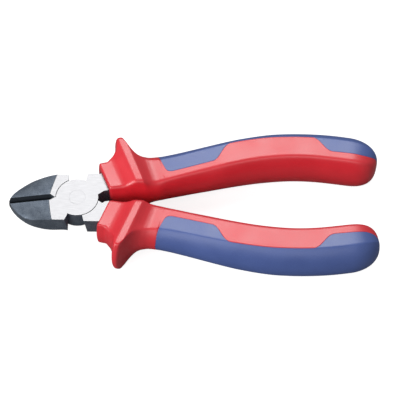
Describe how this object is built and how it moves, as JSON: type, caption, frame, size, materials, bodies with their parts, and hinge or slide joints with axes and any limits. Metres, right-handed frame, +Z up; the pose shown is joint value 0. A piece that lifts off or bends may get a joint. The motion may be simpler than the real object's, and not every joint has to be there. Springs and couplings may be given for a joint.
{
  "type": "diagonal cutting pliers",
  "caption": "Diagonal cutting pliers with lap joint, tapered jaws and curved two-colour guarded handles; cuts wire beside the pivot.",
  "frame": {"origin": "centre of the bounding box on the plane the tool lies on, with the jaws closed", "axes": "+X from the jaws to the handle ends, +Z up along the rivet axis, +Y across toward the handle of the front half"},
  "size_m": [0.16, 0.0678, 0.0212],
  "materials": {
    "steel": "dark burnished forging with ground, polished joint faces",
    "rivet_steel": "ground flush and polished with the joint faces",
    "grip_red": "hard moulded plastic, satin",
    "cover_blue": "soft moulded elastomer, matte"
  },
  "bodies": {
    "rear_handle": {"rear_half": "steel", "pivot_rivet": "rivet_steel", "lower_grip_core": "grip_red", "lower_soft_cover": "cover_blue"},
    "front_handle": {"front_half": "steel", "upper_grip_core": "grip_red", "upper_soft_cover": "cover_blue"}
  },
  "joints": [
    {"name": "jaw_pivot", "type": "hinge", "parent": "rear_handle", "child": "front_handle", "pos_m": [-0.0503, 0, 0.0106], "axis": [0, 0, 1], "range_deg": [0, 38]}
  ]
}
